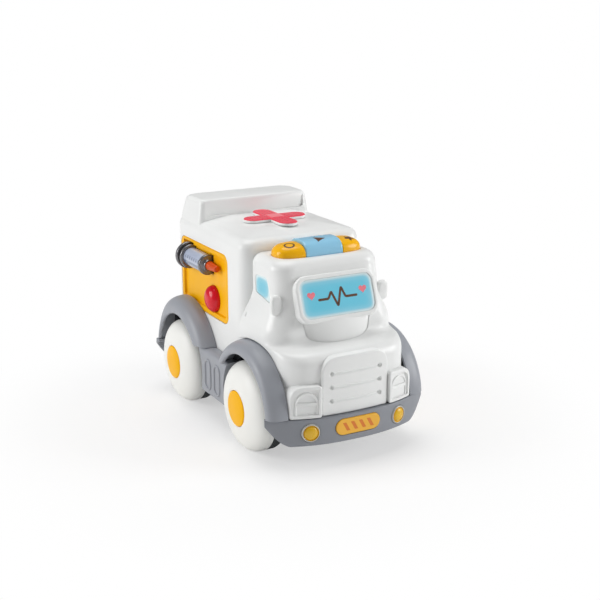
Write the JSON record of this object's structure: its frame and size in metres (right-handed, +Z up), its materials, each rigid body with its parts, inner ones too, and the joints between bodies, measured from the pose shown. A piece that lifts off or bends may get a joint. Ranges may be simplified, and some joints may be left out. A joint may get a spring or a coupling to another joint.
{
  "type": "toy ambulance",
  "caption": "Toddler's push-along toy ambulance with free-rolling domed wheels, roof light-bar keys, a red press button and a toy syringe with a sliding plunger on its side panel.",
  "frame": {"origin": "on the ground under the middle of the car's length and width", "axes": "+Z up, the front faces -Y, +X is the car's left side"},
  "size_m": [0.1192, 0.19, 0.1426],
  "materials": {
    "white_plastic": "smooth moulded",
    "wheel_white": "smooth moulded",
    "grey_plastic": "satin moulded",
    "amber_plastic": "smooth moulded",
    "red_plastic": "high gloss",
    "coral_plastic": "smooth moulded",
    "blue_panel": "glossy printed",
    "blue_key": "translucent gloss",
    "orange_plastic": "smooth moulded",
    "smoke_clear": "translucent gloss",
    "tread_rubber": "matte",
    "dark_gloss": "high gloss",
    "steel": "plain",
    "board": "solder mask",
    "silicone": "soft matte",
    "cell_jacket": "printed sleeve, plain",
    "dark_plastic": "satin",
    "ochre_plastic": "smooth moulded"
  },
  "bodies": {
    "vehicle": {"chassis": "grey_plastic", "front_bumper": "grey_plastic", "rear_bumper": "grey_plastic", "box_shell": "white_plastic", "cab_shell": "white_plastic", "screen_frame": "white_plastic", "face_screen": "blue_panel", "bumper_plate": "amber_plastic", "roof_emblem": "coral_plastic", "side_panel_right": "amber_plastic", "side_panel_left": "amber_plastic", "front_fender_right": "grey_plastic", "rear_fender_right": "grey_plastic", "side_window_right": "blue_panel", "bumper_lamp_right": "ochre_plastic", "key_dome_right": "silicone", "front_fender_left": "grey_plastic", "rear_fender_left": "grey_plastic", "side_window_left": "blue_panel", "bumper_lamp_left": "ochre_plastic", "key_dome_left": "silicone", "key_dome_middle": "silicone", "key_board": "board", "button_dome": "silicone", "button_board": "board", "syringe_barrel": "smoke_clear", "syringe_flange": "dark_gloss", "syringe_collar": "dark_gloss", "syringe_nozzle": "orange_plastic", "battery_cover": "grey_plastic", "battery_cover_screw": "steel", "body_screw_1": "steel", "body_screw_2": "steel", "body_screw_3": "steel", "body_screw_4": "steel", "cell_1": "cell_jacket", "cell_2": "cell_jacket", "main_board": "board", "speaker": "dark_plastic", "power_switch_body": "dark_plastic"},
    "front_axle_set": {"front_axle": "steel", "front_wheel_right": "wheel_white", "front_tread_right": "tread_rubber", "front_cap_right": "amber_plastic", "front_wheel_left": "wheel_white", "front_tread_left": "tread_rubber", "front_cap_left": "amber_plastic"},
    "rear_axle_set": {"rear_axle": "steel", "rear_wheel_right": "wheel_white", "rear_tread_right": "tread_rubber", "rear_cap_right": "amber_plastic", "rear_wheel_left": "wheel_white", "rear_tread_left": "tread_rubber", "rear_cap_left": "amber_plastic"},
    "right_key": {"roof_key_right": "amber_plastic"},
    "middle_key": {"roof_key_middle": "blue_key"},
    "left_key": {"roof_key_left": "amber_plastic"},
    "red_button": {"side_button": "red_plastic"},
    "plunger": {"syringe_plunger": "dark_gloss"},
    "switch_knob": {"power_switch_knob": "dark_plastic"}
  },
  "joints": [
    {"name": "front_axle_spin", "type": "hinge", "parent": "vehicle", "child": "front_axle_set", "pos_m": [0, -0.045, 0.0286], "axis": [1, 0, 0], "continuous": true},
    {"name": "rear_axle_spin", "type": "hinge", "parent": "vehicle", "child": "rear_axle_set", "pos_m": [0, 0.055, 0.0286], "axis": [1, 0, 0], "continuous": true},
    {"name": "right_key_press", "type": "slide", "parent": "vehicle", "child": "right_key", "axis": [0, 0, -1], "range_m": [0, 0.0024], "stiffness_N_per_m": 250, "springref_m": -0.0015, "deforming": ["key_dome_right"]},
    {"name": "middle_key_press", "type": "slide", "parent": "vehicle", "child": "middle_key", "axis": [0, 0, -1], "range_m": [0, 0.0024], "stiffness_N_per_m": 250, "springref_m": -0.0015, "deforming": ["key_dome_middle"]},
    {"name": "left_key_press", "type": "slide", "parent": "vehicle", "child": "left_key", "axis": [0, 0, -1], "range_m": [0, 0.0024], "stiffness_N_per_m": 250, "springref_m": -0.0015, "deforming": ["key_dome_left"]},
    {"name": "red_button_press", "type": "slide", "parent": "vehicle", "child": "red_button", "axis": [1, 0, 0], "range_m": [0, 0.0024], "stiffness_N_per_m": 250, "springref_m": -0.0015, "deforming": ["button_dome"]},
    {"name": "plunger_slide", "type": "slide", "parent": "vehicle", "child": "plunger", "axis": [0, 1, 0], "range_m": [-0.0023, 0.008]},
    {"name": "switch_slide", "type": "slide", "parent": "vehicle", "child": "switch_knob", "axis": [1, 0, 0], "range_m": [0, 0.007]}
  ]
}
